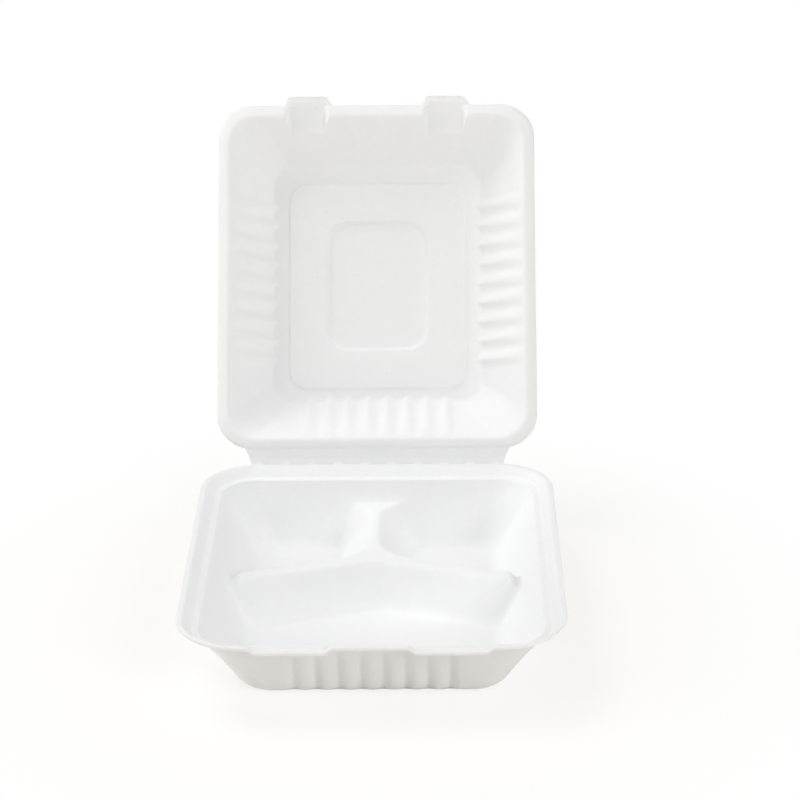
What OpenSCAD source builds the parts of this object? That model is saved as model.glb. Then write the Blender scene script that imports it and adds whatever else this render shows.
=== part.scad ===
// Moulded-fibre clamshell box with three compartments, shown open.
// Millimetres. The underside of the base rests on z = 0, the front is -Y, the hinge is at +Y.

/* [Base] */
// Width over the lip
base_w = 202; // [150:1:260]
// Depth over the lip
base_d = 221; // [170:1:280]
// Height of the lip above the table
base_h = 42; // [32:1:60]
// Sheet thickness of the base
base_t = 1; // [0.7:0.1:1.6]
// Corner radius of the lip
lip_r = 31; // [24:1:40]
// Corner radius at the foot of the walls
foot_r = 11; // [8:1:16]
// Inset of the foot at the sides
foot_in = 33; // [26:1:40]
// Inset of the foot at the front
foot_in_front = 31; // [26:1:40]
// Inset of the foot at the hinge side
foot_in_rear = 25; // [20:1:34]

/* [Dividers] */
// Height of the divider crest above the table
div_h = 25; // [16:1:30]
// Sweep of the cross divider's two halves, as depth over width
div_sweep = 0.305; // [0.1:0.005:0.4]
// Roundness of the cross divider's peak
div_bend = 3.5; // [2:0.5:12]
// Middle of the cross divider, behind the middle of the base
div_y = 21.4; // [0:0.2:30]
// Half width of the cross divider's crest
div_c = 4.2; // [2.5:0.1:5.5]
// Spread of the cross divider's front flank in the middle
div_run_front = 9.3; // [7:0.1:14]
// Spread of the cross divider's rear flank
div_run_rear = 12; // [8:0.5:14]
// Half width of the straight divider's crest
arm_c = 2.2; // [1.4:0.1:3.2]
// Spread of the straight divider's flanks
arm_run = 15; // [10:0.5:17]
// How far the straight divider widens at the hinge-side wall
arm_flare = 13; // [0:0.5:16]

/* [Lid] */
// Width over the flange
lid_w = 187.5; // [140:0.5:240]
// Clear way from the flange to the front edge of the base lip
lid_front_gap = 6.6; // [6:0.2:12]
// Width of the hinge strip
strip_s = 9.2; // [7:0.2:12]
// Length of the fold line
strip_w = 148; // [90:1:152]
// Sheet thickness of the lid
lid_t = 0.8; // [0.6:0.1:1.2]
// Depth of the lid behind the fold
lid_depth = 20; // [12:1:34]
// Corner radius of the flange
lid_r = 20; // [16:1:30]
// Corner radius of the lid floor
lid_floor_r = 10; // [7:1:14]
// Inset of the lid floor from the flange edge
lid_in = 31.4; // [26:0.2:38]
// How far the lid leans back from upright
lean = 30.4; // [0:0.2:80]
// Place of each locking tab from the middle
tab_x = 41; // [30:1:46]

/* [Flutes] */
// Pitch of the flutes
flute_p = 11.6; // [9:0.1:12.4]
// Depth of the flutes in the front wall of the base
flute_base = 1.9; // [1:0.1:2.4]
// Depth of the flutes in the lid walls
flute_lid = 2.8; // [1.5:0.1:3.2]

/* [Clearances] */
// Half gap of the fold between base and strip
fold_gap = 0.3; // [0.2:0.05:0.35]
// Gap between the closed lid and the ledge of the base
seat_gap = 0.3; // [0.2:0.05:0.6]

/* [Hidden] */
pulp = [0.95, 0.945, 0.93];
rise = 4.7;
crest_n = rise - seat_gap;
turn = 8;
span = 700;

// Smooth larger and smaller of two heights
function smax(a, b, k) = let(h = max(k - abs(a - b), 0) / k) max(a, b) + h * h * k / 4;
function smin(a, b, k) = -smax(-a, -b, k);
function mix(a, b, m) = a + (b - a) * m;
function ramp(v, a, b) = min(max((v - a) / (b - a), 0), 1);
function way(v) = v / norm(v);
function rev(v) = [for (i = [len(v) - 1:-1:0]) v[i]];

// Stops round a rounded outline: side number 0 to 7 from the low side, with a place or an angle
function stop_q(e, yc) =
    let(k = e[0])
    k % 2 == 1 ? k + e[1] / 90 :
    k == 0 ? 0.5 + e[1] / span :
    k == 2 ? 2.5 + (e[1] - yc) / span :
    k == 4 ? 4.5 - e[1] / span :
    6.5 - (e[1] - yc) / span;
function out_of(e) =
    let(k = e[0], a = e[1])
    k == 0 ? [0, -1] :
    k == 1 ? [sin(a), -cos(a)] :
    k == 2 ? [1, 0] :
    k == 3 ? [cos(a), sin(a)] :
    k == 4 ? [0, 1] :
    k == 5 ? [-sin(a), cos(a)] :
    k == 6 ? [-1, 0] :
    [-cos(a), -sin(a)];
function at_stop(e, hx, y0, y1, r) =
    let(k = e[0], o = out_of(e))
    k == 0 ? [e[1], y0] :
    k == 1 ? [hx - r + r * o[0], y0 + r + r * o[1]] :
    k == 2 ? [hx, e[1]] :
    k == 3 ? [hx - r + r * o[0], y1 - r + r * o[1]] :
    k == 4 ? [e[1], y1] :
    k == 5 ? [r - hx + r * o[0], y1 - r + r * o[1]] :
    k == 6 ? [-hx, e[1]] :
    [r - hx + r * o[0], y0 + r + r * o[1]];
function corner(k, angles) = [for (a = angles) [k, a]];
function side(k, places) = [for (p = places) [k, p]];
function round_angles(n) = [for (i = [0:n]) 90 * i / n];

// Triangles between two closed rows of points, matched by their place round the outline
function zip(qa, a0, qb, b0) =
    let(na = len(qa), nb = len(qb))
    let(fa = function(i) i < na ? qa[i] : qa[i - na] + turn)
    let(fb = function(j) j < nb ? qb[j] : qb[j - nb] + turn)
    [for (i = 0, j = 0, g = fa(1) <= fb(1); i + j < na + nb;
          i = g ? i + 1 : i,
          j = g ? j : j + 1,
          g = i < na && (j >= nb || fa(i + 1) <= fb(j + 1)))
        g ? [a0 + i % na, a0 + (i + 1) % na, b0 + j % nb]
          : [a0 + i % na, b0 + (j + 1) % nb, b0 + j % nb]];
function starts(rows, i = 0, at = 0) =
    i >= len(rows) ? [] : concat([at], starts(rows, i + 1, at + len(rows[i])));
function flip(faces) = [for (f = faces) [f[0], f[2], f[1]]];
function shift(faces, d) = [for (f = faces) [f[0] + d, f[1] + d, f[2] + d]];
function flat(v) = [for (a = v) for (b = a) b];

// Flute: 1 in the crease, 0 in the middle of a column, nothing past the last column
function crease(r, last) = abs(r) >= last ? 0 : 1 - abs(sin(180 * r));
function flute_places(first, last, p) =
    [for (k = [first:last], d = [-0.5, -0.17, 0, 0.17]) (k + d) * p];

// Base: the divider as a height, with an inset for the underside
function peak(x) = sqrt(pow(div_sweep * x, 2) + pow(div_bend, 2));
function arc_y(x) = div_y + div_bend - peak(x);
function arc_cos(x) = 1 / sqrt(1 + pow(div_sweep * div_sweep * x / peak(x), 2));
function front_run(x) = div_run_front + 0.08 * (sqrt(x * x + 400) - 20);
function arm_half(y) = arm_c + arm_flare * pow(max(y - arm_back + FLARE, 0) / FLARE, 2);
function flank(d, run, o) = div_h - (d + o * sqrt(1 + pow(run / div_h, 2))) * div_h / run;
function divider(x, y, o) =
    let(d = (y - arc_y(x)) * arc_cos(x), run = d < 0 ? front_run(x) : div_run_rear)
    let(arm = (abs(x) - arm_half(y)) * div_run_rear / arm_run)
    smin(div_h - o, flank(d < 0 ? -d - div_c : smin(d - div_c, arm, JOIN), run, o), 2.5);
function row_y(x, f) =
    f < 0 ? arc_y(x) - div_c + f * front_run(x) :
    f > 0 ? arc_y(x) + div_c + f * div_run_rear : arc_y(x);

// Base: stations from the lip edge inward as inset, drop, and way to the underside
LIP = [
    [0, -1.7, 1, 0],
    [0.1, -0.9, 1, -0.1],
    [0.8, -0.2, 0.6, -0.8],
    [1.8, 0, 0, -1],
    [2.9, -0.5, -0.42, -0.91],
    [7.2, -4, -0.5, -0.87],
    [8.5, -rise, -0.2, -1],
    [11.2, -rise, -0.2, -1],
    [12.3, -5.4, -0.75, -0.75],
];
// Where the lid's tabs lie over the lip
NOTCH = [
    [2.2, -3.8, 1, 0],
    [2.2, -3, 1, -0.65],
    [2.5, -2.6, 0.76, -0.96],
    [3.3, -2.5, 0.12, -1],
    [4.4, -2.9, -0.3, -0.95],
    [7.2, -4.2, -0.4, -0.92],
];
// Where the sheet turns over into the hinge strip
FOLD = [
    [fold_gap, -0.25, 0, -1],
    [fold_gap + 0.4, -0.16, 0, -1],
    [fold_gap + 0.8, -0.06, 0, -1],
];
LIP_END = 12.9;
LIP_DROP = 6.6;
wall_h = base_h - LIP_DROP - base_t;
// Plan roundness where the dividers meet, and where the straight one widens to the wall
JOIN = 21;
FLARE = 18;
arm_back = base_d / 2 - LIP_END - (foot_in_rear - LIP_END) * (base_h - LIP_DROP - div_h) / wall_h;
WALL = [
    [0, -1.1, -0.1, 0],
    [0.33, -1.12, 0, 0.8],
    [0.66, -1.12, 0, 1],
    [0.913, -1, -0.35, 1],
    [1.023, -0.55, -0.85, 0.7],
    [1.172, 0, -1, 0],
];
function wall_z(f) = f < 0.95 ? base_h - LIP_DROP - f * wall_h : f < 1.1 ? base_t + 0.8 : base_t;
NOTCH_X = [tab_x - 19, tab_x - 17, tab_x + 17, tab_x + 19];
function in_notch(x) = min(ramp(abs(x), NOTCH_X[0], NOTCH_X[1]), 1 - ramp(abs(x), NOTCH_X[2], NOTCH_X[3]));
fold_x = strip_w / 2;
fold_a = asin(min(max((fold_x - base_w / 2 + lip_r) / lip_r, 0.02), 0.5));
fold_b = asin(min(max((fold_x + 1.5 - base_w / 2 + lip_r) / lip_r, 0.07), 0.55));
REAR_A = [0, 90 - 62, 90 - 45, 90 - 28, 90 - fold_b, 90 - fold_a];
RIM_STOPS = concat(
    side(0, concat(rev(-NOTCH_X), [0], NOTCH_X)),
    corner(1, round_angles(5)),
    corner(3, REAR_A),
    side(4, [40, 0, -40]),
    corner(5, [for (a = rev(REAR_A)) 90 - a]),
    corner(7, round_angles(5)));
COLS = [2.2, 6, 10, 14, 19, 27, 40];
COLS_ALL = concat(rev(-COLS), [0], COLS);
ROWS = [-1.35, -1, -0.75, -0.5, -0.25, -0.001, 0, 0.001, 0.25, 0.5, 0.75, 1, 1.35];
front_n = floor((base_w / 2 - foot_in - foot_r) / flute_p);
FRONT_X = [for (x = flute_places(1 - front_n, front_n, flute_p)) x - flute_p / 2];
WALL_STOPS = concat(
    side(0, concat(FRONT_X, [front_n * flute_p])),
    corner(1, round_angles(4)),
    side(2, ROWS),
    corner(3, round_angles(4)),
    side(4, rev(COLS_ALL)),
    corner(5, round_angles(4)),
    side(6, rev(ROWS)),
    corner(7, round_angles(4)));
function lip_station(i, x, k) =
    k == 0 && i < len(NOTCH) ? mix(LIP[i], NOTCH[i], in_notch(x)) :
    k >= 3 && k <= 5 && i < len(FOLD) ? mix(LIP[i], FOLD[i], 1 - ramp(abs(x), fold_x, fold_x + 1.5)) :
    LIP[i];
function rim_point(i, e, o) =
    let(g = at_stop(e, base_w / 2, -base_d / 2, base_d / 2, lip_r))
    let(s = lip_station(i, g[0], e[0]), u = s[0] + o * s[2])
    let(p = at_stop(e, base_w / 2 - u, -base_d / 2 + u, base_d / 2 - u, max(lip_r - u, 6)))
    [p[0], p[1], base_h + s[1] + o * s[3]];
function wall_point(w, e, o) =
    let(f = w[0], run = foot_in - LIP_END, run_r = foot_in_rear - LIP_END)
    let(us = LIP_END + run * f + o * w[1], ur = LIP_END + run_r * f + o * w[1])
    let(uf = LIP_END + (foot_in_front - LIP_END) * f + o * w[1])
    let(hx = base_w / 2 - us, r = mix(lip_r - LIP_END, foot_r, min(f, 1)) - o * w[1])
    let(g = e[0] == 2 || e[0] == 6 ? [e[0], row_y(hx, e[1])] : e)
    let(p = at_stop(g, hx, uf - base_d / 2, base_d / 2 - ur, max(r, 5)))
    let(c = e[0] == 0 && abs(p[0]) < front_n * flute_p ? crease(p[0] / flute_p + 0.5, 99) : 0)
    let(d = flute_base * w[3] * c)
    [p[0], p[1] + d, smax(wall_z(f) + o * w[2], divider(p[0], p[1], o), 6)];

// Base: floor between the walls as rows along the curved divider
floor_x = base_w / 2 - LIP_END - (foot_in - LIP_END) * 1.172 - 2;
floor_front = -base_d / 2 + LIP_END + (foot_in_front - LIP_END) * 1.172 + 2;
floor_rear = base_d / 2 - LIP_END - (foot_in_rear - LIP_END) * 1.172 - 2;
FCOLS = concat([-floor_x, -0.83 * floor_x], COLS_ALL, [0.83 * floor_x, floor_x]);
FROWS = concat([-3, -2.6, -2.2], ROWS, [2.2, 2.5, 2.8, 3]);
function floor_y(x, f) =
    f < -2 ? mix(row_y(x, -1.35), floor_front, (-f - 1.8) / 1.2) :
    f > 2 ? mix(row_y(x, 1.35), floor_rear, (f - 2) / 1) :
    row_y(x, f);
function floor_point(i, j, o) =
    let(x = FCOLS[i], y = floor_y(x, FROWS[j]))
    [x, y, smax(base_t - o, divider(x, y, o), 6)];
NI = len(FCOLS);
NJ = len(FROWS);
FLOOR_EDGE = concat(
    [for (i = [1:NI - 2]) [0, FCOLS[i], i]],
    [[1, 45, NI - 1]],
    [for (j = [1:NJ - 2]) [2, FROWS[j], j * NI + NI - 1]],
    [[3, 45, NJ * NI - 1]],
    [for (i = [NI - 2:-1:1]) [4, FCOLS[i], (NJ - 1) * NI + i]],
    [[5, 45, (NJ - 1) * NI]],
    [for (j = [NJ - 2:-1:1]) [6, FROWS[j], j * NI]],
    [[7, 45, 0]]);
function base_skin(o) = concat(
    [for (i = [0:len(LIP) - 1]) [for (e = RIM_STOPS) rim_point(i, e, o)]],
    [for (w = WALL) [for (e = WALL_STOPS) wall_point(w, e, o)]],
    [flat([for (j = [0:NJ - 1]) [for (i = [0:NI - 1]) floor_point(i, j, o)]])]);
function pick(faces, n, edge) =
    [for (f = faces) [for (v = f) v < n ? v : edge[v - n]]];

module base() {
    top = base_skin(0);
    low = base_skin(base_t);
    at = starts(top);
    n = at[len(at) - 1] + len(top[len(top) - 1]);
    qr = [for (e = RIM_STOPS) stop_q(e, 0)];
    qw = [for (e = WALL_STOPS) stop_q(e, 0)];
    qf = [for (e = FLOOR_EDGE) stop_q(e, 0)];
    nr = len(LIP);
    nw = len(WALL);
    f0 = at[nr + nw];
    edge = [for (e = FLOOR_EDGE) f0 + e[2]];
    sheet = concat(
        flat([for (i = [0:nr - 2]) zip(qr, at[i], qr, at[i + 1])]),
        zip(qr, at[nr - 1], qw, at[nr]),
        flat([for (i = [0:nw - 2]) zip(qw, at[nr + i], qw, at[nr + i + 1])]),
        pick(zip(qw, at[nr + nw - 1], qf, n), n, edge),
        flat([for (j = [0:NJ - 2], i = [0:NI - 2])
            let(a = f0 + j * NI + i)
            [[a, a + 1, a + NI + 1], [a, a + NI + 1, a + NI]]]));
    rim = [for (i = [0:len(qr) - 1])
        let(k = (i + 1) % len(qr))
        each [[i, n + i, n + k], [i, n + k, k]]];
    color(pulp)
        polyhedron(concat(flat(top), flat(low)), concat(flip(sheet), shift(sheet, n), flip(rim)));
}

// Lid, as moulded flat: x across, y from the fold, z towards the inside
y0 = strip_s;
y1 = base_d - lid_front_gap;
ym = (y0 + y1) / 2 - 1.6;
// Stations from the flange edge inward as inset, height, and way to the outside
EDGE = [
    [0, crest_n - 3.1, 0.87, -0.48],
    [0.15, crest_n - 2.8, 0.87, -0.48],
    [0.5, crest_n - 2.1, 0.8, -0.6],
    [1.8, crest_n - 1.05, 0.55, -0.83],
    [3.4, crest_n - 0.3, 0.3, -0.95],
    [5, crest_n, 0, -1],
    [6.3, crest_n - 0.4, -0.5, -0.87],
    [7.4, crest_n - 1.3, -0.7, -0.72],
];
// The hinge strip, with its places from the fold
STRIP = [
    [fold_gap, -0.36, 0, -1],
    [0.33 * strip_s, -0.33, 0, -1],
    [strip_s - 0.4, 1, -0.1, -1],
    [strip_s + 1.1, crest_n - 1.4, -0.1, -1],
];
// The locking tab, with its places from the front edge of the base lip
TAB = [
    [1.7, 3.3, -1, 0],
    [1.8, 2.6, -1, -0.2],
    [2.4, 2, -0.6, -0.8],
    [3.6, 1.8, 0, -1],
    [5, 1.7, 0, -1],
    [6, 1.2, -0.2, -1],
    [11, 0.2, -0.15, -1],
    [16.5, -1, -0.3, -0.95],
];
CUP = [
    [0.3, -0.7, -0.72, 0.42],
    [0.63, -0.7, -0.72, 0.76],
    [0.93, -0.6, -0.8, 0.95],
    [1, -0.3, -0.95, 1],
    [1.18, 0, -1, 0],
];
function cup_z(f) = f < 0.95 ? mix(crest_n - 1.3, -lid_depth, f) : f < 1.1 ? 0.55 - lid_depth : -lid_depth;
TAB_X = [9.6, 11, 13, 15, 18];
function in_tab(x, i) =
    let(d = abs(abs(x) - tab_x))
    i < 5 ? 1 - ramp(d, 11, 15) : 1 - ramp(d, 9.6, 13);
TAB_ALL = concat(rev(-TAB_X), [0], TAB_X);
function by_tab(x) = 1 - ramp(abs(abs(x) - tab_x), 15, 18);
tab_places = [for (d = TAB_ALL) d - tab_x];
// The tab's turned-down edge ends before its sides run back to the flange
function tab_station(i, x) =
    let(s = TAB[i], k = i < 3 ? ramp(abs(abs(x) - tab_x), TAB_X[0], TAB_X[1]) : 0)
    [s[0] - lid_front_gap, mix(s[1], TAB[2][1], k), mix(s[2], 0, k), mix(s[3], -1, k)];
strip_a = asin(min(max((fold_x - lid_w / 2 + lid_r) / lid_r, 0.03), 0.5));
strip_b = asin(min(max((fold_x + 1.2 - lid_w / 2 + lid_r) / lid_r, 0.09), 0.56));
strip_c = asin(min(max((fold_x + 3.4 - lid_w / 2 + lid_r) / lid_r, 0.18), 0.66));
HINGE_A = [strip_a, strip_b, strip_c, 45, 62, 90];
function in_strip(x) = pow(1 - ramp(abs(x), fold_x, fold_x + 3.4), 1.6);
EDGE_STOPS = concat(
    side(0, [-40, 0, 40]),
    corner(1, HINGE_A),
    corner(3, round_angles(5)),
    side(4, concat([for (x = tab_places) -x], [0], rev(tab_places))),
    corner(5, round_angles(5)),
    corner(7, [for (a = rev(HINGE_A)) 90 - a]));
// Straight run of the lid walls, and how many flutes they take
cup_x = lid_w / 2 - 1.18 * lid_in + 1.4 - lid_floor_r;
cup_y = (y1 - y0) / 2 - 1.18 * lid_in + 0.7 - lid_floor_r;
side_n = floor(cup_y / flute_p - 0.5);
hinge_n = floor(cup_x / flute_p);
SIDE_Y = concat(flute_places(-side_n, side_n, flute_p), [(side_n + 0.5) * flute_p]);
HINGE_X = concat([for (x = flute_places(1 - hinge_n, hinge_n, flute_p)) x - flute_p / 2], [hinge_n * flute_p]);
CUP_STOPS = concat(
    side(0, HINGE_X),
    corner(1, round_angles(4)),
    side(2, [for (y = SIDE_Y) ym + y]),
    corner(3, round_angles(4)),
    side(4, [0.85, 0.6, 0.3, 0, -0.3, -0.6, -0.85] * cup_x),
    corner(5, round_angles(4)),
    side(6, [for (y = rev(SIDE_Y)) ym + y]),
    corner(7, round_angles(4)));
function edge_point(i, e, o) =
    let(g = at_stop(e, lid_w / 2, y0, y1, lid_r), k = e[0])
    let(low = k == 0 || k == 1 || k == 7, high = k == 4)
    let(m = low && i < len(STRIP) ? in_strip(g[0]) : high ? in_tab(g[0], i) : 0)
    let(t = high ? tab_station(i, g[0]) : low && i < len(STRIP) ? STRIP[i] : EDGE[i])
    let(c = high ? by_tab(g[0]) : 0, a = mix([EDGE[i][2], EDGE[i][3]], [0, -1], c))
    let(n = mix(EDGE[i], t, m), u = EDGE[i][0], w = way(mix(a, [t[2], t[3]], m)), du = o * w[0])
    let(us = 1.1 * u + du, ul = 0.88 * u + du, uh = high ? mix(1.24 * u, t[0], m) + du : 1.24 * u + du)
    let(p = at_stop(e, lid_w / 2 - us, y0 + ul, y1 - uh, lid_r - 0.6 * u - du))
    let(y = low ? mix(p[1], t[0] + du, m) : p[1])
    [p[0], y, n[1] + o * w[1]];
function cup_point(w, e, o) =
    let(f = w[0], du = o * w[1], s = 8.1)
    let(us = mix(s, lid_in, f) + du, ul = mix(6.5, lid_in - 0.9, f) + du, uh = mix(9.2, lid_in + 1.1, f) + du)
    let(r = mix(lid_r - 6, lid_floor_r, min(f, 1)) - du)
    let(p = at_stop(e, lid_w / 2 - us, y0 + ul, y1 - uh, max(r, 4)), k = e[0])
    let(c = k == 0 ? (abs(p[0]) < hinge_n * flute_p ? crease(p[0] / flute_p + 0.5, 99) : 0) :
        k == 2 || k == 6 ? crease((p[1] - ym) / flute_p, side_n + 0.5) : 0)
    let(d = flute_lid * w[3] * c)
    [p[0] - (k == 2 ? d : k == 6 ? -d : 0), p[1] + (k == 0 ? d : 0), cup_z(f) + o * w[2]];
// Lid floor: a shallow raised panel and a sunk field in its middle
PANEL = [[8, 6.6, 10.1, 0], [9.2, 7.8, 11.3, 1.2], [31, 30.4, 33.9, 1.2], [32.4, 31.8, 35.3, -0.2]];
PANEL_STOPS = concat(
    corner(1, round_angles(5)), corner(3, round_angles(5)), corner(5, round_angles(5)), corner(7, round_angles(5)));
function panel_point(k, e, o) =
    let(w = PANEL[k], hx = lid_w / 2 - lid_in)
    let(p = at_stop(e, hx - w[0], y0 + lid_in - 0.9 + w[1], y1 - lid_in - 1.1 - w[2], k < 2 ? 11 : 12.5))
    [p[0], p[1], w[3] - lid_depth - o];
function lid_skin(o) = concat(
    [for (i = [0:len(EDGE) - 1]) [for (e = EDGE_STOPS) edge_point(i, e, o)]],
    [for (w = CUP) [for (e = CUP_STOPS) cup_point(w, e, o)]],
    [for (k = [0:len(PANEL) - 1]) [for (e = PANEL_STOPS) panel_point(k, e, o)]],
    [[[0, ym, PANEL[3][3] - lid_depth - o]]]);

module lid_flat() {
    top = lid_skin(0);
    low = lid_skin(lid_t);
    at = starts(top);
    last = at[len(at) - 1];
    n = last + 1;
    qe = [for (e = EDGE_STOPS) stop_q(e, ym)];
    qc = [for (e = CUP_STOPS) e == [5, 0] ? 4.5 + 0.94 * cup_x / span : stop_q(e, ym)];
    qp = [for (e = PANEL_STOPS) stop_q(e, ym)];
    ne = len(EDGE);
    nc = len(CUP);
    np = len(PANEL);
    ap = at[ne + nc + np - 1];
    sheet = concat(
        flat([for (i = [0:ne - 2]) zip(qe, at[i], qe, at[i + 1])]),
        zip(qe, at[ne - 1], qc, at[ne]),
        flat([for (i = [0:nc - 2]) zip(qc, at[ne + i], qc, at[ne + i + 1])]),
        zip(qc, at[ne + nc - 1], qp, at[ne + nc]),
        flat([for (i = [0:np - 2]) zip(qp, at[ne + nc + i], qp, at[ne + nc + i + 1])]),
        [for (i = [0:len(qp) - 1]) [ap + i, ap + (i + 1) % len(qp), last]]);
    rim = [for (i = [0:len(qe) - 1])
        let(k = (i + 1) % len(qe))
        each [[i, n + i, n + k], [i, n + k, k]]];
    color(pulp)
        polyhedron(concat(flat(top), flat(low)), concat(flip(sheet), shift(sheet, n), flip(rim)));
}

// The lid turned up about the fold line
module lid() {
    translate([0, base_d / 2, base_h])
        rotate([90 - lean, 0, 0])
            lid_flat();
}

base();
lid();
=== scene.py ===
"""Looks of the moulded-fibre clamshell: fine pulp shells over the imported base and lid."""
import math

import bmesh
import bpy
import numpy as np
from mathutils import Matrix, Vector


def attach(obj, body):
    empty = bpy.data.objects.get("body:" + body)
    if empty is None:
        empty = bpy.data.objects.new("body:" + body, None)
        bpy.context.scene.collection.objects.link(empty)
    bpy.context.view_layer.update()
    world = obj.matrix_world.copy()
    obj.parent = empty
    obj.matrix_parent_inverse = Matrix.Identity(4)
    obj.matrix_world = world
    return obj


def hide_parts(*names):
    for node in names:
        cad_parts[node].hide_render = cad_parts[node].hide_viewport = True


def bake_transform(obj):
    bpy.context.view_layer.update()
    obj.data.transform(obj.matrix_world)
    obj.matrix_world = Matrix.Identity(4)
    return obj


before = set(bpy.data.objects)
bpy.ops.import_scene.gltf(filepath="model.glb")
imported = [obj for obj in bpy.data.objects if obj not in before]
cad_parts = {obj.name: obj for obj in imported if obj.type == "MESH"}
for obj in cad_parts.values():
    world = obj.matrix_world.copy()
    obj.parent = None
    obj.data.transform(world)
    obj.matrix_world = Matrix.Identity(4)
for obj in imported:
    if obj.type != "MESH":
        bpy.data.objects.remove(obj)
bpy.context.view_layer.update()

# Sizes in millimetres, as in the part's source but for small changes that follow the photograph.
# u is the way in from the outer edge, and z or n is the height over the lip or over the fold's plane.
BASE_W, BASE_D, BASE_H, BASE_T = 202.0, 221.0, 42.0, 1.0
LIP_R, WALL_R, FOOT_R = 31.0, 18.1, 11.0                  # corners in plan: lip, top of the wall, foot
FOOT_IN, FOOT_IN_REAR, FOOT_IN_FRONT = 33.0, 25.0, 29.5   # the foot's place at the sides, rear and front
FOOT_RUN, FOOT_FILLET, OUTER_R = 14.0, 14.0, 8.5          # floor by the foot, its bend inside and outside
LIP_FLAT, LIP_END, LIP_CORNER, FOOT_CORNER = 3.3, 12.9, 5.0, 2.0
LEDGE_IN, LEDGE_U, LEDGE_Z = 8.1, 11.75, -4.72
NOTCH_U, NOTCH_FLAT, NOTCH_Z = 0.5, 3.2, -3.0             # lowered places of the lip, under the tabs
NOTCH_HALF, NOTCH_END = 17.5, 22.0                        # half their length, without and with the ramps
FLOOR_X, FLOOR_Y0, FLOOR_Y1 = 50.0, -62.0, 71.0
LID_W, LID_T, LID_DEPTH = 187.5, 0.8, 20.0
LID_R, LID_WALL_R, LID_FLOOR_R = 20.0, 16.4, 10.0
LID_IN, LID_IN_LOW, LID_IN_HIGH = 31.4, 30.5, 32.5        # foot of the lid's walls: sides, fold side, tab side
CREST_U, CREST_N = 6.0, 4.6
STRIP_S, STRIP_X, LEAN, TAB_X, PITCH = 9.2, 74.0, 30.4, 41.0, 11.6
LID_Y0, LID_Y1 = STRIP_S, BASE_D - 6.6
LID_YM = (LID_Y0 + LID_Y1) / 2 - 1.6
FLUTE_BASE, FLUTE_LID = 2.1, 2.8
BASE_CUT, LID_CUT = 0.3, 0.42                             # how far the corners of the walls are flattened
SHARP = 0.75                                              # bends past this angle, in radians, keep a sharp edge


def ramp(v, a, b):
    return np.clip((np.asarray(v, float) - a) / (b - a), 0.0, 1.0)


def soft(v, a, b):
    t = ramp(v, a, b)
    return t * t * (3.0 - 2.0 * t)


def smax(a, b, k):
    h = np.maximum(k - np.abs(a - b), 0.0) / k
    return np.maximum(a, b) + h * h * k / 4.0


def smin(a, b, k):
    return -smax(-a, -b, k)


def rounded(pts, radii, arcs, lines):
    """An open line with rounded corners, as a row of points: arcs and lines say how many."""
    out = [pts[0]]

    def straight(to, n):
        a = out[-1]
        for i in range(1, n + 1):
            out.append(a + (to - a) * i / n)

    for i in range(1, len(pts) - 1):
        p = pts[i]
        ea, eb = pts[i - 1] - p, pts[i + 1] - p
        la, lb = np.linalg.norm(ea), np.linalg.norm(eb)
        ea, eb = ea / la, eb / lb
        half = math.acos(np.clip(ea @ eb, -1.0, 1.0)) / 2.0
        d = min(radii[i - 1] / max(math.tan(half), 1e-3), 0.48 * la, 0.48 * lb)
        a, b = p + ea * d, p + eb * d
        straight(a, lines[i - 1])
        n = arcs[i - 1]
        for k in range(1, n + 1):
            t = k / n
            out.append(a * (1 - t) ** 2 + p * 2 * t * (1 - t) + b * t * t)
    straight(pts[-1], lines[-1])
    return np.array(out)


def section(points, radii, arcs, lines, thick):
    """The upper and the lower line of a bent sheet, matched point for point."""
    pts = [np.array(p, float) for p in points]
    ways = [(b - a) / np.linalg.norm(b - a) for a, b in zip(pts[:-1], pts[1:])]
    downs = [np.array((w[1], -w[0])) for w in ways]
    low, low_r = [pts[0] + thick * downs[0]], []
    for i in range(1, len(pts) - 1):
        a, b = downs[i - 1], downs[i]
        low.append(pts[i] + thick * (a + b) / (1.0 + a @ b))
        turn = ways[i - 1][0] * ways[i][1] - ways[i - 1][1] * ways[i][0]
        r = radii[i - 1]
        low_r.append(min(r + thick, OUTER_R) if turn > 0 else max(r - thick, 0.2))
    low.append(pts[-1] + thick * downs[-1])
    return rounded(pts, radii, arcs, lines), rounded(low, low_r, arcs, lines)


def stops(sides, corner_n):
    """Places round an outline: the side or corner, and an angle or a place (the fine stretch is |p| <= 1)."""
    kind, place = [], []
    for side, (outer, inner) in enumerate(sides):
        p = np.concatenate([-2 + np.arange(1, outer + 1) / (outer + 1.0),
                            np.linspace(-1, 1, inner),
                            1 + np.arange(1, outer + 1) / (outer + 1.0)])
        if side >= 2:
            p = p[::-1]
        kind += [2 * side] * len(p)
        place += list(p)
        kind += [2 * side + 1] * corner_n
        place += list(np.linspace(0, math.pi / 2, corner_n))
    return np.array(kind), np.array(place)


def along(p, c, f, lo, hi):
    """Places on one side from lo to hi, fine within f of c."""
    f = min(f, 0.96 * (hi - c), 0.96 * (c - lo))
    return np.where(p > 1, c + f + (p - 1) * (hi - c - f),
                    np.where(p < -1, c - f + (p + 1) * (c - f - lo), c + p * f))


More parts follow.
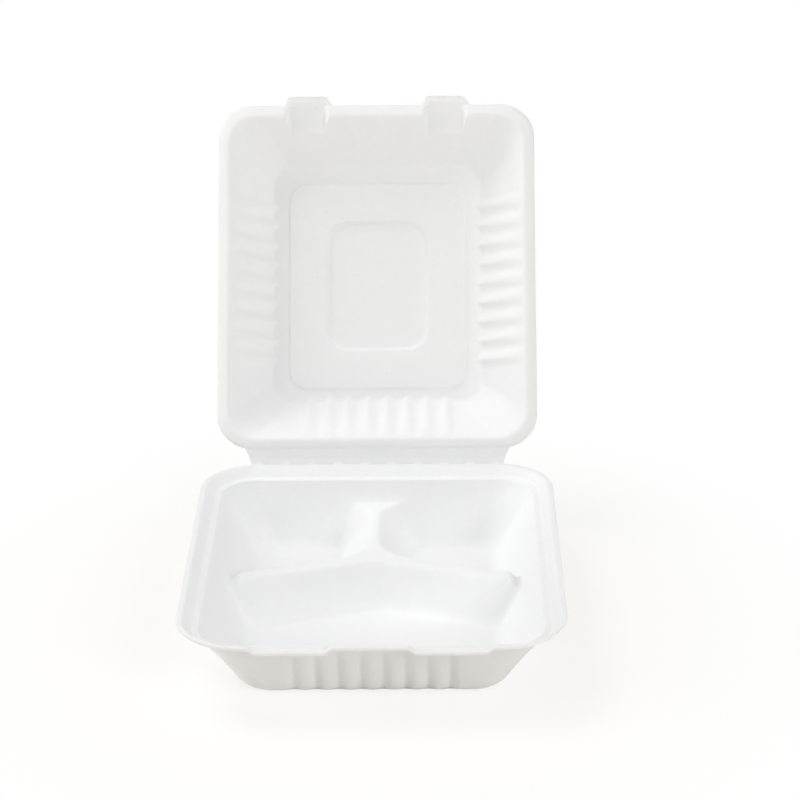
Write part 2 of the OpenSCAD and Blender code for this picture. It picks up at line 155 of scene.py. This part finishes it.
def ring(kind, p, hx, y0, y1, r, centres, fine, cut=0.0, more=0.0):
    """One rounded outline: sides low, right, high, left with their corners after them.

    cut flattens the corners, and more is added to the radius of the two low ones.
    """
    x, y = np.zeros(len(p)), np.zeros(len(p))
    t = p / (math.pi / 2)
    s, c = np.sin(p) * (1 - cut) + t * cut, np.cos(p) * (1 - cut) + (1 - t) * cut
    radii = (r + more, r, r, r + more)
    for side in range(4):
        m = kind == 2 * side
        lo, hi = (y0 + r + more, y1 - r) if side % 2 else (radii[side] - hx, hx - radii[side])
        t = along(p[m], centres[side], fine[side], lo, hi)
        if side % 2 == 0:
            x[m], y[m] = t, (y0 if side == 0 else y1)
        else:
            x[m], y[m] = (hx if side == 1 else -hx), t
        m = kind == 2 * side + 1
        q = radii[side]
        cx = hx - q if side < 2 else q - hx
        cy = y1 - q if side in (1, 2) else y0 + q
        x[m] = cx + q * (s, c, -s, -c)[side][m]
        y[m] = cy + q * (-c, s, c, -s)[side][m]
    return x, y


class Shell:
    """Collects rows of points and faces of one closed sheet."""

    def __init__(self):
        self.v, self.f, self.n = [], [], 0

    def add(self, pts):
        pts = np.asarray(pts, float).reshape(-1, 3)
        at = self.n
        self.v.append(pts)
        self.n += len(pts)
        return np.arange(at, self.n)

    def band(self, a, b, closed=True):
        n = len(a)
        for i in range(n if closed else n - 1):
            k = (i + 1) % n
            self.f.append((a[i], a[k], b[k], b[i]))

    def rim(self, top, low, thick):
        """Joins the outer rows of both skins over a slightly rounded cut edge."""
        pts = np.concatenate(self.v)
        out = pts[top[0]] - pts[top[1]] + pts[low[0]] - pts[low[1]]
        out /= np.linalg.norm(out, axis=1)[:, None]
        mid = self.add((pts[top[0]] + pts[low[0]]) / 2 + 0.2 * thick * out)
        self.band(top[0], mid)
        self.band(mid, low[0])

    def grid(self, idx):
        for j in range(idx.shape[0] - 1):
            self.band(idx[j], idx[j + 1], closed=False)

    def zip(self, a, b):
        """Joins two closed rows with unequal numbers of points by the shorter diagonals."""
        pts = np.concatenate(self.v)
        pa, pb = pts[a][:, :2], pts[b][:, :2]
        j0 = int(np.argmin(np.linalg.norm(pb - pa[0], axis=1)))
        b, pb = np.roll(b, -j0), np.roll(pb, -j0, axis=0)
        i = j = 0
        na, nb = len(a), len(b)
        while i < na or j < nb:
            da = np.linalg.norm(pa[(i + 1) % na] - pb[j % nb]) if i < na else 1e9
            db = np.linalg.norm(pa[i % na] - pb[(j + 1) % nb]) if j < nb else 1e9
            if da <= db:
                self.f.append((a[i % na], a[(i + 1) % na], b[j % nb]))
                i += 1
            else:
                self.f.append((a[i % na], b[(j + 1) % nb], b[j % nb]))
                j += 1

    def mesh(self, name, place=None):
        pts = np.concatenate(self.v)
        if place is not None:
            pts = place(pts)
        me = bpy.data.meshes.new(name)
        me.from_pydata((pts / 1000.0).tolist(), [], [tuple(int(i) for i in f) for f in self.f])
        me.validate()
        bm = bmesh.new()
        bm.from_mesh(me)
        bmesh.ops.recalc_face_normals(bm, faces=bm.faces)
        for e in bm.edges:
            e.smooth = e.calc_face_angle(0.0) < SHARP
        bm.to_mesh(me)
        bm.free()
        for poly in me.polygons:
            poly.use_smooth = True
        ob = bpy.data.objects.new(name, me)
        bpy.context.scene.collection.objects.link(ob)
        return ob


def crease(r, last, first=0.0, soft_by=0.012, wide=1.0):
    """A rounded ridge at first, first + 1 and so on, nothing past the last column."""
    wave = np.sin(np.pi * (r - first)) ** 2 + soft_by
    ridge = (1.0 - wave ** (wide / 2)) / (1.0 - soft_by ** (wide / 2))
    return np.where(np.abs(r) >= last, 0.0, ridge).clip(0, None)


def edge_loop(idx):
    """The outline of a grid of point numbers."""
    return np.concatenate([idx[0, :-1], idx[:-1, -1], idx[-1, :0:-1], idx[:0:-1, 0]])


# Base: the swept cross divider and the straight one, which widens to the rear wall
DIV_H, DIV_Y, DIV_C, SWEEP, BEND = 25.0, 21.4, 4.2, 0.305, 3.5
RUN_FRONT, RUN_REAR, ARM_C, ARM_RUN, ARM_FLARE = 9.3, 12.0, 2.2, 17.5, 13.0
JOIN, FLARE, ARM_BACK = 21.0, 18.0, 93.94
DIV_END, END_RUN = 74.5, 20.0               # its ends dip a little before the side walls
SPREAD, SPREAD_R = 0.08, 20.0               # its front flank runs out further towards the ends
DIV_ROUND, DIV_FILLET = 2.5, 6.0


def arc_y(x):
    """The middle line of the cross divider."""
    return DIV_Y + BEND - np.sqrt((SWEEP * x) ** 2 + BEND ** 2)


def divider(x, y, o):
    """Height of the divider's skin that lies o inside its top skin."""
    slope = SWEEP ** 2 * x / np.sqrt((SWEEP * x) ** 2 + BEND ** 2)
    d = (y - arc_y(x)) / np.sqrt(1 + slope ** 2)
    run = np.where(d < 0, RUN_FRONT + SPREAD * (np.sqrt(x * x + SPREAD_R ** 2) - SPREAD_R), RUN_REAR)
    half = ARM_C + ARM_FLARE * (np.maximum(y - ARM_BACK + FLARE, 0) / FLARE) ** 2
    arm = (np.abs(x) - half) * RUN_REAR / ARM_RUN
    away = np.where(d < 0, -d - DIV_C, smin(d - DIV_C, arm, JOIN))
    flank = DIV_H - (away + o * np.sqrt(1 + (run / DIV_H) ** 2)) * DIV_H / run
    past = np.abs(x) - DIV_END + o * math.hypot(1.0, END_RUN / DIV_H)
    end = DIV_H - past * DIV_H / END_RUN
    return smin(smin(DIV_H - o, flank, DIV_ROUND), end, DIV_ROUND)


def base_shell():
    """The tray: rows from the lip's edge to the floor for each skin, a grid for the floor, then the rim."""
    foot = BASE_T - BASE_H
    tail = [(LEDGE_IN, LEDGE_Z), (LEDGE_U, LEDGE_Z), (FOOT_IN, foot), (FOOT_IN + FOOT_RUN, foot)]
    radii, arcs, lines = [1.0, 1.4, 1.6, 1.4, FOOT_FILLET], [5, 5, 5, 5, 12], [3, 1, 4, 2, 16, 2]
    gen = section([(0, -1.7), (0, 0.03), (LIP_FLAT, 0.03)] + tail, radii, arcs, lines, BASE_T)
    notch = section([(NOTCH_U, NOTCH_Z - 1.7), (NOTCH_U, NOTCH_Z), (NOTCH_FLAT, NOTCH_Z)] + tail,
                    radii, arcs, lines, BASE_T)
    fold = section([(0.3, -0.25), (0.9, -0.1), (2.3, 0.03)] + tail, radii, arcs, lines, BASE_T)
    kind, p = stops([(14, 136), (16, 64), (14, 66), (16, 64)], 22)
    centres, fine = (0.0, 0.0, 0.0, 0.0), (4.0 * PITCH, 30.0, 32.0, 30.0)
    k_rear = (FOOT_IN_REAR - LEDGE_U) / (FOOT_IN - LEDGE_U)
    k_front = (FOOT_IN_FRONT - LEDGE_U) / (FOOT_IN - LEDGE_U)
    head = sum(lines[:2]) + sum(arcs[:2]) + 2   # rows before the ledge, where the lip varies
    sh = Shell()
    skins = []
    for skin, o in enumerate((0.0, BASE_T)):
        rows = []
        for i in range(len(gen[0])):
            u = gen[0][i][0]
            us, z = gen[skin][i]
            ur = us if us < LEDGE_U else LEDGE_U + (us - LEDGE_U) * k_rear
            uf = us if us < LEDGE_U else LEDGE_U + (us - LEDGE_U) * k_front
            f = (u - LEDGE_U) / (FOOT_IN - LEDGE_U)
            r = LIP_R - u if u < LIP_END else WALL_R + (FOOT_R - WALL_R) * min(f, 1.0)
            cut = BASE_CUT * float(soft(f, 0.05, 0.6))
            more = LIP_CORNER * float(1 - soft(u, 0.5, 4.5)) + FOOT_CORNER * float(soft(f, 0.1, 1.0))
            x, y = ring(kind, p, BASE_W / 2 - us, uf - BASE_D / 2, BASE_D / 2 - ur, r + u - us,
                        centres, fine, cut, more)
            zz = np.full(len(p), BASE_H + z)
            low = kind == 0
            env = soft(f, 0.0, 0.34) * (1 - soft(f, 1.0, 1.25))
            y = y + np.where(low, FLUTE_BASE * env * crease(x / PITCH, 4.0, 0.5, 0.06), 0.0)
            if i < head:
                begins = soft(np.abs(x), TAB_X - NOTCH_END, TAB_X - NOTCH_HALF)
                ends = 1 - soft(np.abs(x), TAB_X + NOTCH_HALF, TAB_X + NOTCH_END)
                m = np.where(low, np.minimum(begins, ends), 0.0)
                y += m * (notch[skin][i][0] - BASE_D / 2 - y)
                zz += m * (BASE_H + notch[skin][i][1] - zz)
                m = np.where((kind >= 3) & (kind <= 5), 1 - soft(np.abs(x), STRIP_X, STRIP_X + 1.5), 0.0)
                y += m * (BASE_D / 2 - fold[skin][i][0] - y)
                zz += m * (BASE_H + fold[skin][i][1] - zz)
            else:
                zz = smax(zz, divider(x, y, o), DIV_FILLET)
            rows.append(sh.add(np.stack([x, y, zz], 1)))
        for a, b in zip(rows[:-1], rows[1:]):
            sh.band(a, b)
        xx, yy = np.meshgrid(np.linspace(-FLOOR_X, FLOOR_X, 96), np.linspace(FLOOR_Y0, FLOOR_Y1, 128))
        zz = smax(np.full(xx.shape, BASE_T - o), divider(xx, yy, o), DIV_FILLET)
        idx = sh.add(np.stack([xx, yy, zz], -1)).reshape(xx.shape)
        sh.grid(idx)
        sh.zip(rows[-1], edge_loop(idx))
        skins.append(rows)
    sh.rim(skins[0], skins[1], BASE_T)
    return sh.mesh("base_shell")


# Lid, in its own frame: x across, s from the fold, n towards the inside
TILT = math.radians(90.0 - LEAN)
DIMPLE_X, DIMPLE_S, DIMPLE_R, DIMPLE_DEEP = 56.5, 6.6, 2.0, 0.6
STRIP_RAMP = 3.4                                          # where the strip widens into the flange
TAB_HALF, TAB_SIDE, HOOK_HALF, HOOK_SIDE = 11.0, 4.0, 9.4, 1.5
SIDE_K, LOW_K, HIGH_K = 1.1, 0.88, 1.24                   # width of the flange: sides, fold side, tab side
PANEL_UP, FIELD_DOWN, PANEL_NARROW = 1.2, 2.3, 1.2


def lid_place(q):
    """From the lid's own frame to the place where it leans at rest."""
    s, n = q[:, 1], q[:, 2]
    return np.stack([q[:, 0], BASE_D / 2 + s * math.cos(TILT) - n * math.sin(TILT),
                     BASE_H + s * math.sin(TILT) + n * math.cos(TILT)], 1)


def lid_map(u, k, foot):
    """The way in from one edge: flange scaled by k, then the wall down to its foot."""
    crest = CREST_U * k
    return u * k if u < CREST_U else crest + (u - CREST_U) * (foot - crest) / (LID_IN - CREST_U)


def panel_rows():
    """Rows of the panel's rim, its face and the field's rim.

    Each has the way in from the wall's foot, height, corner, and what is added at the low and the high side.
    """
    rows = []
    for t in np.linspace(0, 1, 8):
        rows.append((7.7 + 1.8 * t, PANEL_UP * float(soft(t, 0, 1)), 11.0, -1.4, 2.1))
    for t in (0.33, 0.67):
        rows.append((9.5 + 21.2 * t, PANEL_UP, 11.0 + 1.5 * t, -1.4 + 0.8 * t, 2.1 + 0.8 * t))
    for t in np.linspace(0, 1, 9):
        rows.append((30.2 + 3.0 * t, PANEL_UP - FIELD_DOWN * float(soft(t, 0, 1)), 12.5, -0.6, 2.9))
    return rows


def lid_shell():
    """The cover: rows from the flange's edge to the panel for each skin, a grid for the field, then the rim."""
    d = -LID_DEPTH
    radii, arcs, lines = [1.0, 0.8, 1.6, 3.0, 4.5], [3, 3, 4, 7, 8], [2, 2, 1, 3, 16, 1]
    fold_end, tab_end = [(LID_IN_LOW, d), (35.0, d)], [(16.0, -3.8), (LID_IN_HIGH, d), (37.0, d)]
    gen = section([(0, 1.2), (0.1, 1.5), (0.35, 2.0), (1.3, 3.25), (CREST_U, CREST_N), (LID_IN, d), (36.2, d)],
                  radii, arcs, lines, LID_T)
    strip = section([(-8.9, -0.36), (-6.0, -0.33), (-0.3, 0.95), (0.9, 2.9), (5.3, CREST_N)] + fold_end,
                    radii, arcs, lines, LID_T)
    tab = section([(-4.95, 2.6), (-4.3, 2.2), (-1.9, 2.2), (0.2, 1.6)] + tab_end, radii, arcs, lines, LID_T)
    plain = section([(-4.9, 2.1), (-4.0, 2.2), (-1.9, 2.2), (0.2, 1.6)] + tab_end, radii, arcs, lines, LID_T)
    kind, p = stops([(26, 96), (12, 110), (10, 130), (12, 110)], 18)
    centres = (0.0, LID_YM, 0.0, LID_YM)
    fine = (4.0 * PITCH, 4.5 * PITCH, 60.0, 4.5 * PITCH)
    strip_to = sum(lines[:3]) + sum(arcs[:3]) + 1   # rows before the crest, where the strip differs
    sh = Shell()
    skins = []
    for skin, o in enumerate((0.0, LID_T)):
        rows = []
        for i in range(len(gen[0])):
            u = gen[0][i][0]
            us, z = gen[skin][i]
            f = (u - CREST_U) / (LID_IN - CREST_U)
            r = LID_R - 0.6 * u if f < 0 else LID_WALL_R + (LID_FLOOR_R - LID_WALL_R) * min(f, 1.0)
            x, y = ring(kind, p, LID_W / 2 - lid_map(us, SIDE_K, LID_IN),
                        LID_Y0 + lid_map(us, LOW_K, LID_IN_LOW), LID_Y1 - lid_map(us, HIGH_K, LID_IN_HIGH),
                        r + u - us, centres, fine, LID_CUT * float(soft(f, 0.0, 0.55)))
            zz = np.full(len(p), z)
            env = float(np.interp(f, [0.0, 0.14, 0.4, 0.7, 0.93], [0, 0.42, 0.7, 0.85, 1]))
            wide = 1.0 + 1.4 * (1 - float(soft(f, 0.1, 0.95)))
            env *= 1 - float(soft(f, 1.0, 1.2))
            side = crease((y - LID_YM) / PITCH, 4.5, wide=wide) * FLUTE_LID * env
            back = crease(x / PITCH, 4.0, 0.5, wide=wide) * FLUTE_LID * env
            x = x - np.where(kind == 2, side, 0.0) + np.where(kind == 6, side, 0.0)
            y = y + np.where(kind == 0, back, 0.0)
            if i < strip_to:
                low = (kind == 0) | (kind == 1) | (kind == 7)
                m = np.where(low, (1 - ramp(np.abs(x), STRIP_X, STRIP_X + STRIP_RAMP)) ** 1.6, 0.0)
                y += m * (LID_Y0 + strip[skin][i][0] - y)
                zz += m * (strip[skin][i][1] - zz)
                away = np.hypot(x - DIMPLE_X, y - DIMPLE_S) / DIMPLE_R
                zz -= DIMPLE_DEEP * m * np.exp(-away ** 4)
            off = np.abs(np.abs(x) - TAB_X)
            edge = float(soft(i, 8.0, 14.0))   # the pocket behind a tab is narrower than the tab
            near, far = TAB_HALF - 1.4 * edge, TAB_HALF + TAB_SIDE - 2.0 * edge
            m = np.where(kind == 4, 1 - soft(off, near, far), 0.0)
            m = m * (1 - float(soft(f, 0.55, 0.95)))
            k = soft(off, HOOK_HALF, HOOK_HALF + HOOK_SIDE)
            y += m * (LID_Y1 - (tab[skin][i][0] * (1 - k) + plain[skin][i][0] * k) - y)
            zz += m * (tab[skin][i][1] * (1 - k) + plain[skin][i][1] * k - zz)
            rows.append(sh.add(np.stack([x, y, zz], 1)))
        # The shallow raised panel and the sunk field in its middle
        hx, y0, y1 = LID_W / 2 - LID_IN, LID_Y0 + LID_IN_LOW, LID_Y1 - LID_IN_HIGH
        for w, n, r, at_low, at_high in panel_rows():
            x, y = ring(kind, p, hx - w - PANEL_NARROW, y0 + w + at_low, y1 - w - at_high, r, centres, fine)
            rows.append(sh.add(np.stack([x, y, np.full(len(p), d + n - o)], 1)))
        for a, b in zip(rows[:-1], rows[1:]):
            sh.band(a, b)
        xx, yy = np.meshgrid(np.linspace(41 - hx, hx - 41, 30), np.linspace(y0 + 39.4, y1 - 42.9, 42))
        field = np.full(xx.shape, d + PANEL_UP - FIELD_DOWN - o)
        idx = sh.add(np.stack([xx, yy, field], -1)).reshape(xx.shape)
        sh.grid(idx)
        sh.zip(rows[-1], edge_loop(idx))
        skins.append(rows)
    sh.rim(skins[0], skins[1], LID_T)
    return sh.mesh("lid_shell", lid_place)


# The fold: a thin scored web with ten uncut bridges between base and strip
BRIDGE_PITCH, BRIDGE_HALF, FOLD_T = 15.5, 2.7, 0.5


def fold_web():
    """The web's rows run along x; each is a line across the fold, high on a bridge and low on a slit."""
    t = np.array((math.cos(TILT), math.sin(TILT)))
    n = np.array((-math.sin(TILT), math.cos(TILT)))

    def on_lid(s, h):
        return s * t + h * n

    bridge = [(-2.4, -0.4), (-1.8, 0.02), (-0.9, 0.03), (-0.1, 0.16), on_lid(0.9, -0.25), on_lid(2.2, -0.27),
              on_lid(2.9, -0.7)]
    slit = [(-2.4, -0.4), (-1.6, -0.36), (-0.9, -0.46), (0.25, -0.43), on_lid(0.9, -0.75), on_lid(1.6, -0.72),
            on_lid(2.9, -0.72)]
    down = [(0, -1), (0, -1), (0, -1), (0.497, -0.868), -n, -n, -n]
    flat = [0.5] * 5
    x = np.linspace(-STRIP_X + 0.2, STRIP_X - 0.2, 320)
    at = np.abs((np.abs(x) / BRIDGE_PITCH) % 1.0 - 0.5) * BRIDGE_PITCH
    m = (1 - soft(at, BRIDGE_HALF - 0.9, BRIDGE_HALF + 0.9))[:, None, None]
    sh = Shell()
    skins = []
    for o in (0.0, FOLD_T):
        lines = [rounded([np.array(q, float) + o * np.array(w) for q, w in zip(path, down)], flat,
                         [3] * 5, [1] * 6) for path in (slit, bridge)]
        pts = lines[0][None] * (1 - m) + lines[1][None] * m
        xx = np.broadcast_to(x[:, None], pts.shape[:2])
        q = np.stack([xx, BASE_D / 2 + pts[..., 0], BASE_H + pts[..., 1]], -1)
        skins.append(sh.add(q).reshape(xx.shape))
        sh.grid(skins[-1])
    sh.band(edge_loop(skins[0]), edge_loop(skins[1]))
    return sh.mesh("fold_web")


# Material: felted plant fibre
def pulp_material():
    mat = bpy.data.materials.new("pulp_fibre")
    mat.use_nodes = True
    nt = mat.node_tree
    bsdf = nt.nodes["Principled BSDF"]
    bsdf.inputs["Specular IOR Level"].default_value = 0.25
    coord = nt.nodes.new("ShaderNodeTexCoord")

    def node(kind, **sockets):
        n = nt.nodes.new(kind)
        for key, value in sockets.items():
            n.inputs[key.replace("_", " ")].default_value = value
        return n

    def noise(scale, detail, rough):
        n = node("ShaderNodeTexNoise", Scale=scale, Detail=detail, Roughness=rough)
        nt.links.new(coord.outputs["Object"], n.inputs["Vector"])
        return n.outputs["Fac"]

    def sums(a, ka, b, kb):
        first = nt.nodes.new("ShaderNodeMath")
        first.operation = "MULTIPLY"
        first.inputs[1].default_value = ka
        nt.links.new(a, first.inputs[0])
        both = nt.nodes.new("ShaderNodeMath")
        both.operation = "MULTIPLY_ADD"
        both.inputs[1].default_value = kb
        nt.links.new(b, both.inputs[0])
        nt.links.new(first.outputs[0], both.inputs[2])
        return both.outputs[0]

    def blend(fac, a, b):
        mix = nt.nodes.new("ShaderNodeMix")
        mix.data_type = "RGBA"
        for key, value in (("A", a), ("B", b)):
            if isinstance(value, tuple):
                mix.inputs[key].default_value = value + (1,)
            else:
                nt.links.new(value, mix.inputs[key])
        nt.links.new(fac, mix.inputs["Factor"])
        return mix.outputs["Result"]

    cloud, mottle, grain = noise(45.0, 2.0, 0.5), noise(260.0, 3.0, 0.6), noise(1100.0, 3.0, 0.7)
    tone = sums(sums(cloud, 0.3, mottle, 0.4), 1.0, grain, 0.3)
    fibre = blend(tone, (0.838, 0.84, 0.84), (0.918, 0.92, 0.92))
    cells = node("ShaderNodeTexVoronoi", Scale=95.0)
    nt.links.new(coord.outputs["Object"], cells.inputs["Vector"])
    speck = node("ShaderNodeMapRange", From_Min=0.02, From_Max=0.04, To_Min=0.3, To_Max=0.0)
    nt.links.new(cells.outputs["Distance"], speck.inputs["Value"])
    nt.links.new(blend(speck.outputs["Result"], fibre, (0.42, 0.36, 0.28)), bsdf.inputs["Base Color"])
    rough = node("ShaderNodeMapRange", To_Min=0.8, To_Max=0.95)
    nt.links.new(mottle, rough.inputs["Value"])
    nt.links.new(rough.outputs["Result"], bsdf.inputs["Roughness"])
    bump = node("ShaderNodeBump", Strength=0.35, Distance=0.0003)
    nt.links.new(sums(mottle, 0.7, grain, 0.5), bump.inputs["Height"])
    nt.links.new(bump.outputs["Normal"], bsdf.inputs["Normal"])
    return mat


pulp = pulp_material()
base = base_shell()
lid = lid_shell()
fold = fold_web()
for ob in (base, lid, fold):
    ob.data.materials.append(pulp)
for ob, node in ((base, "base"), (lid, "lid")):
    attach(ob, node)
    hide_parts(node)
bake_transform(fold)


# Stage: white where the camera sees it, apart from the object's shadow near by
FLOOR_Z = -0.02                                           # millimetres, just under the base


def stage_floor():
    n = 48
    sh = Shell()
    turn = np.arange(n) * 2 * math.pi / n
    rings = [sh.add(np.stack([1000 * r * np.cos(turn), 1000 * r * np.sin(turn), np.full(n, FLOOR_Z)], 1))
             for r in (0.2, 0.5, 1.2, 4.0)]
    for a, b in zip(rings[:-1], rings[1:]):
        sh.band(a, b)
    c = sh.add([(0, 0, FLOOR_Z)])
    for i in range(n):
        sh.f.append((rings[0][i], rings[0][(i + 1) % n], c[0]))
    ob = sh.mesh("stage_floor")
    mat = bpy.data.materials.new("stage_white")
    mat.use_nodes = True
    nt = mat.node_tree
    nt.nodes.remove(nt.nodes["Principled BSDF"])
    out = nt.nodes["Material Output"]
    dif = nt.nodes.new("ShaderNodeBsdfDiffuse")
    dif.inputs["Color"].default_value = (0.97, 0.94, 0.89, 1)
    emi = nt.nodes.new("ShaderNodeEmission")
    path = nt.nodes.new("ShaderNodeLightPath")
    coord = nt.nodes.new("ShaderNodeTexCoord")
    ln = nt.nodes.new("ShaderNodeVectorMath")
    ln.operation = "LENGTH"
    nt.links.new(coord.outputs["Object"], ln.inputs[0])
    far = nt.nodes.new("ShaderNodeMapRange")
    far.interpolation_type = "SMOOTHSTEP"
    far.inputs["From Min"].default_value = 0.10
    far.inputs["From Max"].default_value = 0.30
    far.inputs["To Min"].default_value = 0.75
    nt.links.new(ln.outputs["Value"], far.inputs["Value"])
    seen = nt.nodes.new("ShaderNodeMath")
    seen.operation = "MAXIMUM"
    nt.links.new(path.outputs["Is Camera Ray"], seen.inputs[0])
    nt.links.new(path.outputs["Is Glossy Ray"], seen.inputs[1])
    both = nt.nodes.new("ShaderNodeMath")
    both.operation = "MULTIPLY"
    nt.links.new(seen.outputs[0], both.inputs[0])
    nt.links.new(far.outputs["Result"], both.inputs[1])
    mix = nt.nodes.new("ShaderNodeMixShader")
    nt.links.new(both.outputs[0], mix.inputs["Fac"])
    nt.links.new(dif.outputs[0], mix.inputs[1])
    nt.links.new(emi.outputs[0], mix.inputs[2])
    nt.links.new(mix.outputs[0], out.inputs["Surface"])
    ob.data.materials.append(mat)


stage_floor()


def lamp(name, at, to, size, watts):
    data = bpy.data.lights.new(name, "AREA")
    data.shape = "DISK"
    data.size = size
    data.energy = watts
    ob = bpy.data.objects.new(name, data)
    ob.location = at
    ob.rotation_euler = (Vector(to) - Vector(at)).to_track_quat("-Z", "Y").to_euler()
    bpy.context.scene.collection.objects.link(ob)


AIM, LAMP_SIZE = (0, 0.05, 0.05), 1.2
LAMPS = (("high", (-1.0, 0.6, 1.9), 20.3), ("fill", (1.2, -1.4, 1.2), 22.8), ("key", (-1.7, -0.7, 1.1), 9.2),
         ("side", (-2.1, 0.0, 0.7), 9.0), ("other", (2.1, 0.0, 0.7), 4.9), ("rear", (1.2, 1.5, 1.2), 2.9),
         ("top", (0.0, 0.05, 2.2), 3.2))
for name, at, watts in LAMPS:
    lamp(name, at, AIM, LAMP_SIZE, watts)

SKY = 0.115   # what the world adds to the lamps
world = bpy.data.worlds.new("studio")
bpy.context.scene.world = world
world.use_nodes = True
wt = world.node_tree
bg = wt.nodes["Background"]
wp = wt.nodes.new("ShaderNodeLightPath")
see = wt.nodes.new("ShaderNodeMath")
see.operation = "MAXIMUM"
wt.links.new(wp.outputs["Is Camera Ray"], see.inputs[0])
wt.links.new(wp.outputs["Is Transmission Ray"], see.inputs[1])
lvl = wt.nodes.new("ShaderNodeMapRange")
lvl.inputs["To Min"].default_value = SKY
lvl.inputs["To Max"].default_value = 1.0
wt.links.new(see.outputs[0], lvl.inputs["Value"])
wt.links.new(lvl.outputs["Result"], bg.inputs["Strength"])
bg.inputs["Color"].default_value = (1, 1, 1, 1)

# Camera, as fitted to the photograph
FRAME_PX, FOCAL_PX, SENSOR_MM = 800.0, 2458.29, 36.0
CAM_X, CAM_Y, CAM_Z = 0.029365, -1.19603, 0.64264
pitch, yaw, roll = (math.radians(a) for a in (23.20, 0.69, 0.60))
back = Vector((math.sin(yaw) * math.cos(pitch), -math.cos(yaw) * math.cos(pitch), math.sin(pitch)))
right = Vector((math.cos(yaw), math.sin(yaw), 0.0))
up = back.cross(right)
rr = right * math.cos(roll) - up * math.sin(roll)
uu = right * math.sin(roll) + up * math.cos(roll)
cam_data = bpy.data.cameras.new("photo_camera")
cam_data.sensor_width = SENSOR_MM
cam_data.sensor_fit = "HORIZONTAL"
cam_data.lens = FOCAL_PX / FRAME_PX * SENSOR_MM
cam = bpy.data.objects.new("photo_camera", cam_data)
cam.matrix_world = Matrix(((rr.x, uu.x, back.x, CAM_X), (rr.y, uu.y, back.y, CAM_Y),
                           (rr.z, uu.z, back.z, CAM_Z), (0, 0, 0, 1)))
bpy.context.scene.collection.objects.link(cam)
bpy.context.scene.camera = cam
bpy.context.scene.view_settings.view_transform = "Standard"
